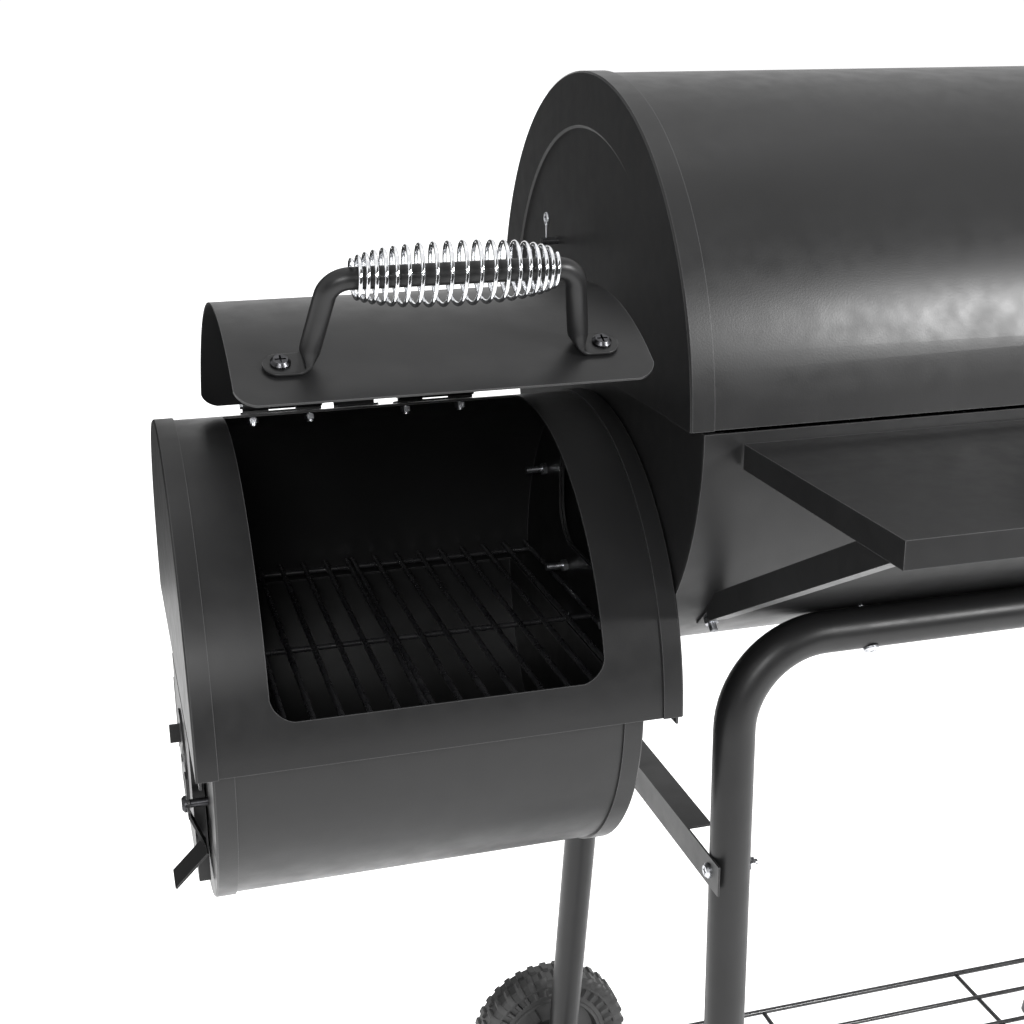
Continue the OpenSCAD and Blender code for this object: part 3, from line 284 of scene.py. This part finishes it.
GRIP_R = 6.4 * MM
GRIP_BEND = 14 * MM
TAB_THICK = 2.5 * MM
TAB_WIDE = 19 * MM
FOOT_BEND = 6 * MM
FOOT_OUT = 10.5 * MM            # from a screw to the end of its foot
LEGS_IN = 29 * MM               # how much shorter each is than the distance between the screws
GRIP_IN = 52 * MM
SPRING_IN = 77 * MM
SPRING_PITCH = 6.2 * MM
AROUND = 28                     # points round the tube


class HandleSize:
    """The lengths of one handle, from the distance between its screws and its height."""

    def __init__(self, screws, height):
        self.height = height                    # from the lid to the grip's centre line
        self.legs = screws - LEGS_IN            # between the legs where they meet the lid
        self.grip = screws - GRIP_IN            # between the two corners of the grip
        self.tip = screws / 2 + FOOT_OUT        # from the handle's middle to the end of its foot
        self.spring = screws - SPRING_IN
        self.turns = round(self.spring / SPRING_PITCH)


HANDLE_SIZES = {"lid": HandleSize(232 * MM, 52 * MM), "firebox": HandleSize(195 * MM, 60 * MM)}


def handle_line(size):
    """Half the handle's centre line, from its middle to the tip of its foot: (along, up, heading) steps."""
    lean = math.atan2((size.legs - size.grip) / 2, size.height)
    turn = math.pi / 2 - lean
    corner = size.grip / 2 - GRIP_BEND * math.tan(turn / 2)
    steps = [(corner * i / 4, size.height, 0.0) for i in range(4)]
    for i in range(13):
        a = turn * i / 12
        steps.append((corner + GRIP_BEND * math.sin(a), size.height - GRIP_BEND * (1 - math.cos(a)), -a))
    rise = TAB_THICK / 2 + FOOT_BEND * (1 - math.cos(turn))
    foot = size.legs / 2 - rise * math.tan(lean)
    top = steps[-1]
    for i in range(1, 10):
        t = i / 10
        steps.append((top[0] + (foot - top[0]) * t, top[1] + (rise - top[1]) * t, -turn))
    bend = foot + FOOT_BEND * math.sin(turn)
    for i in range(9):
        a = turn * (1 - i / 8)
        steps.append((bend - FOOT_BEND * math.sin(a), TAB_THICK / 2 + FOOT_BEND * (1 - math.cos(a)), -a))
    for i in range(1, 19):
        t = math.sin(i / 18 * math.pi / 2)
        steps.append((bend + (size.tip - bend) * t, TAB_THICK / 2, 0.0))
    return steps


def handle_section(size, along, up, heading):
    """Half thickness, half width and squareness of the tube at a step: round, then pressed flat."""
    flat = min(1.0, max(0.0, (12 * MM - up) / (10 * MM)))
    flat = flat * flat * (3 - 2 * flat)
    thick = GRIP_R + (TAB_THICK / 2 - GRIP_R) * flat
    wide = GRIP_R + (TAB_WIDE / 2 - GRIP_R) * flat
    left = (size.tip - along) / (TAB_WIDE / 2)
    if left < 1 and heading == 0:
        wide *= math.sqrt(max(0.004, 1 - (1 - left) ** 2))
    return thick, wide, 2 + 3 * flat


def handle_axes(node, size):
    """Where a CAD handle stands: the middle of its feet, and the directions out of the lid and across it."""
    points = [v.co for v in nodes[node].data.vertices]
    middle = (max(p.x for p in points) + min(p.x for p in points)) / 2
    grip = [p for p in points if abs(abs(p.x - middle) - size.grip / 2 + GRIP_BEND) < 12 * MM]
    feet = [p for p in points if abs(p.x - middle) > size.legs / 2 + 2 * MM]
    out = centre_of(grip) - centre_of(feet)
    out.x = 0
    out.normalize()
    level = min(p.dot(out) for p in feet)
    foot = centre_of(feet)
    foot.x = middle
    foot += out * (level - foot.dot(out))
    return foot, out, out.cross(Vector((1, 0, 0)))


def make_handle(name, node, body, size):
    """Bent-tube handle whose ends are pressed flat into screwed feet."""
    foot, out, across = handle_axes(node, size)
    half = handle_line(size)
    line = [(-u, w, -a, handle_section(size, u, w, a)) for u, w, a in reversed(half)]
    line += [(u, w, a, handle_section(size, u, w, a)) for u, w, a in half[1:]]
    rings = []
    for u, w, heading, (thick, wide, square) in line:
        middle = foot + Vector((u, 0, 0)) + out * w
        up = Vector((-math.sin(heading), 0, 0)) + out * math.cos(heading)
        ring = []
        for k in range(AROUND):
            c, s = math.cos(TAU * k / AROUND), math.sin(TAU * k / AROUND)
            c = math.copysign(abs(c) ** (2 / square), c)
            s = math.copysign(abs(s) ** (2 / square), s)
            ring.append(middle + up * thick * c + across * wide * s)
        rings.append(ring)
    piece = mesh_piece(name, *loft(rings), "black_paint", body, 50)
    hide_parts(node)
    return foot, out, across


SPRING_END_R = 10 * MM
SPRING_MID_R = 17.5 * MM
SPRING_WIRE = 1.25 * MM
CLOSE_ENDS = 0.38               # how much closer the turns lie at the ends than on average


def make_spring(name, node, body, size, axes):
    """Barrel coil of polished wire around a handle's grip, wound closer towards its ends."""
    foot, out, across = axes
    centre = foot + out * size.height
    steps, around = size.turns * 30, 12

    def point(t):
        turn = TAU * size.turns * t
        radius = SPRING_END_R + (SPRING_MID_R - SPRING_END_R) * math.sin(math.pi * min(1, max(0, t))) ** 0.8
        along = size.spring * (t - 0.5 - CLOSE_ENDS * math.sin(TAU * t) / TAU)
        spoke = out * math.cos(turn) + across * math.sin(turn)
        return centre + Vector((along, 0, 0)) + spoke * radius, spoke

    rings = []
    for i in range(steps + 1):
        t = i / steps
        middle, spoke = point(t)
        ahead = (point(min(1, t + 0.0005))[0] - point(max(0, t - 0.0005))[0]).normalized()
        side = ahead.cross(spoke).normalized()
        level = side.cross(ahead)
        rings.append([
            middle + (level * math.cos(TAU * k / around) + side * math.sin(TAU * k / around)) * SPRING_WIRE
            for k in range(around)
        ])
    piece = mesh_piece(name, *loft(rings), "chrome", body, 60)
    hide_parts(node)


# ---------------------------------------------------------------- wheels

LUGS = 36
LUG_STEPS = (0.0, 0.06, 0.30, 0.48, 0.54, 0.78)     # the sections cut through each lug and its gap


def lug(fraction):
    """1 on a lug and 0 in the gap after it."""
    return 1.0 if 0.03 < fraction % 1 < 0.5 else 0.0


def wheel_outline(r, w):
    """Half the wheel's section: (radius, depth, rise out, rise sideways, 1 on the lugs and 2 on the web)."""
    return [
        (0.135 * r, 0.02 * w, 0, 0, 0), (0.27 * r, 0.02 * w, 0, 0, 0), (0.29 * r, 0.08 * w, 0, 0, 0),
        (0.30 * r, 0.27 * w, 0, 0, 2), (0.36 * r, 0.30 * w, 0, 0.10 * w, 2),
        (0.50 * r, 0.31 * w, 0, 0.10 * w, 2), (0.575 * r, 0.30 * w, 0, 0.04 * w, 2),
        (0.60 * r, 0.10 * w, 0, 0, 0), (0.615 * r, 0.05 * w, 0, 0, 0),
        (0.65 * r, 0.05 * w, 0, 0, 0), (0.665 * r, 0.09 * w, 0, 0, 0), (0.72 * r, 0.10 * w, 0, 0, 0),
        (0.73 * r, 0.12 * w, 0, 0.09 * w, 1), (0.83 * r, 0.12 * w, 0, 0.09 * w, 1),
        (0.845 * r, 0.07 * w, 0, 0, 0),
        (0.87 * r, 0.06 * w, 0, 0, 0), (0.90 * r, 0.09 * w, 0.025 * r, 0.03 * w, 1),
        (0.95 * r, 0.12 * w, 0.03 * r, 0, 1), (0.97 * r, 0.17 * w, 0.03 * r, 0, 1),
        (0.97 * r, 0.45 * w, 0.03 * r, 0, 1), (0.965 * r, 0.47 * w, 0, 0, 0),
    ]


def make_wheel(name, node, outwards):
    """Moulded wheel with two staggered rows of lugs, ribbed walls, a dished web with six spokes and a hub."""
    low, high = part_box(node)
    centre = (low + high) / 2
    r, w = (high.z - low.z) / 2, high.y - low.y
    half = wheel_outline(r, w)
    outline = [(*p, 0.0) for p in half] + [(p[0], w - p[1], *p[2:], 0.5) for p in reversed(half)]
    rings = []
    for i in range(LUGS):
        for part in LUG_STEPS:
            angle = TAU * (i + part) / LUGS
            spoke = 1.0 if i % 6 == 0 and part < 0.5 or i % 6 == 5 and part > 0.5 else 0.0
            ring = []
            for radius, depth, rise, rib, row, stagger in outline:
                on = spoke if row == 2 else lug(part + stagger) if row == 1 else 1.0
                depth += (-rib if depth < w / 2 else rib) * on
                radius += rise * (on if row == 1 else 1.0)
                y = outwards * (w / 2 - depth)
                ring.append(centre + Vector((radius * math.cos(angle), y, radius * math.sin(angle))))
            rings.append(ring)
    piece = mesh_piece(name, *loft(rings, closed=True), "black_plastic", body_of_node[node], 28)
    bevel = piece.modifiers.new("moulded edges", "BEVEL")
    bevel.width, bevel.segments = 0.5 * MM, 2
    bevel.limit_method, bevel.angle_limit = "ANGLE", math.radians(35)
    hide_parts(node)


# ---------------------------------------------------------------- thermometer

DIAL_TICKS = 27
DIAL_SWEEP = math.radians(270)
PRINT_THICK = 0.12 * MM


def make_dial_marks():
    """Printed ring of ticks on the dial, a long one at every third step."""
    joint = joints["needle_sweep"]
    out = -Vector(joint["axis"]).normalized()
    low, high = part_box("thermometer_dial")
    needle_low, needle_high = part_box("thermometer_needle")
    face = [v.co for v in nodes["thermometer_dial"].data.vertices]
    height = max(p.dot(out) for p in face) + 0.15 * MM
    centre = (low + high) / 2
    centre += out * (height - centre.dot(out))
    radius = (high.x - low.x) / 2
    needle = (needle_low + needle_high) / 2 - centre
    zero = (needle - out * needle.dot(out)).normalized()
    side = zero.cross(out)
    points, faces = [], []

    def tick(angle, r0, r1, half):
        spoke = zero * math.cos(angle) + side * math.sin(angle)
        flank = out.cross(spoke) * half
        at = len(points)
        for lift in (0, PRINT_THICK):
            for radial, sign in ((r0, -1), (r1, -1), (r1, 1), (r0, 1)):
                points.append(centre + spoke * radial + flank * sign + out * lift)
        faces.append((at + 4, at + 5, at + 6, at + 7))
        faces.append((at + 3, at + 2, at + 1, at))
        for k in range(4):
            n = (k + 1) % 4
            faces.append((at + k, at + n, at + 4 + n, at + 4 + k))

    for i in range(DIAL_TICKS + 1):
        inner, half = (0.74, 0.6 * MM) if i % 3 == 0 else (0.82, 0.3 * MM)
        tick(DIAL_SWEEP * i / DIAL_TICKS, radius * inner, radius * 0.9, half)
    mesh_piece("dial_marks", points, faces, "black_plastic", "lid", 20)


# ---------------------------------------------------------------- CAD nodes

LATCH_SCREW_IN = 4 * MM         # how far in from the firebox's left end the latch's screw may reach


def dress_cad_nodes():
    """Gives every CAD node the finish of its slot in the record, and the latch's screw a black one."""
    for part in frame["record"]["subparts"]:
        materials = nodes[part["node"]].data.materials
        materials.clear()
        materials.append(finishes[part["material_slot"]])
    latch_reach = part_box("firebox_lower_left_end")[0].x
    screws = nodes["firebox_bolts"].data
    screws.materials.append(finishes["black_screw"])
    for face in screws.polygons:
        if face.center.x < latch_reach + LATCH_SCREW_IN:
            face.material_index = 1


# ---------------------------------------------------------------- light

SURROUND_GLOW = 1.05
FLOOR_GLOW = 0.62
FAR = 30
DARK_CARDS = [                  # upright at the left, on the floor in front, and upright in front
    [(-4.0, 2.2, 0.0), (-0.5, 2.2, 0.0), (-0.5, 2.2, 3.0), (-4.0, 2.2, 3.0)],
    [(-9, -4.0, 0.12), (9, -4.0, 0.12), (9, -2.2, 0.12), (-9, -2.2, 0.12)],
    [(-9, -4.0, 0.12), (9, -4.0, 0.12), (9, -4.0, 6.0), (-9, -4.0, 6.0)],
]
LAMPS = [                       # name, place, what it points at, width, power and, if it isn't square, height
    ("overhead", (0.1, 0.2, 3.4), (0.1, 0.0, 0.9), 1.6, 6, 0.9),
    ("right_soft_box", (1.09, -1.72, 1.68), (-0.05, -0.17, 1.015), 0.36, 62),
    ("left_soft_box", (-1.9, -1.3, 2.6), (-0.3, 0.0, 0.85), 1.0, 4),
    ("front_fill", (-0.85, -1.6, 1.5), (-0.43, 0.0, 0.72), 0.35, 15),
]


def area_light(name, place, target, size, power, tall=None):
    data = bpy.data.lights.new(name, "AREA")
    data.shape = "RECTANGLE"
    data.size, data.size_y = size, tall or size
    data.energy = power
    light = bpy.data.objects.new(name, data)
    light.location = place
    light.rotation_mode = "QUATERNION"
    light.rotation_quaternion = (Vector(target) - Vector(place)).to_track_quat("-Z", "Y")
    bpy.context.scene.collection.objects.link(light)


def make_surround():
    """Even white light from all round."""
    world = bpy.data.worlds.new("studio")
    world.use_nodes = True
    back = world.node_tree.nodes["Background"]
    back.inputs["Color"].default_value = (1, 1, 1, 1)
    back.inputs["Strength"].default_value = SURROUND_GLOW
    bpy.context.scene.world = world


def flat_card(name, corners, finish, seen=True):
    """A flat sheet of the studio. One that isn't seen shows only in glossy reflections."""
    mesh = bpy.data.meshes.new(name)
    mesh.from_pydata(corners, [], [(0, 1, 2, 3)])
    card = bpy.data.objects.new(name, mesh)
    bpy.context.scene.collection.objects.link(card)
    card.data.materials.append(finish.material)
    card.visible_camera = card.visible_shadow = card.visible_diffuse = seen


def make_studio():
    """A white floor that glows a little, so that it meets the surround unseen, dark cards and soft lamps."""
    f = Finish("floor")
    f.clouds(2, 2, (0.90, 0.90, 0.90), (0.92, 0.92, 0.92))
    f.set(Roughness=0.9, Specular_IOR_Level=0.1, Emission_Color=(1, 1, 1, 1), Emission_Strength=FLOOR_GLOW)
    flat_card("floor", [(-FAR, -FAR, 0), (FAR, -FAR, 0), (FAR, FAR, 0), (-FAR, FAR, 0)], f)
    f = Finish("dark_card")
    f.clouds(2, 2, (0.02, 0.02, 0.02), (0.03, 0.03, 0.03))
    f.set(Roughness=0.9)
    for i, corners in enumerate(DARK_CARDS):
        flat_card(f"dark_card_{i}", corners, f, seen=False)
    make_surround()
    for lamp in LAMPS:
        area_light(*lamp)


bpy.context.scene.view_settings.view_transform = "Standard"
make_camera()
finishes = make_finishes()
dress_cad_nodes()
for owner, body in (("lid", "lid"), ("firebox", "firebox_lid")):
    size = HANDLE_SIZES[owner]
    axes = make_handle(owner + "_handle_tube", owner + "_handle", body, size)
    make_spring(owner + "_handle_coil", owner + "_handle_spring", body, size, axes)
make_wheel("front_wheel_tyre", "front_wheel", -1)
make_wheel("rear_wheel_tyre", "rear_wheel", 1)
make_dial_marks()
make_studio()
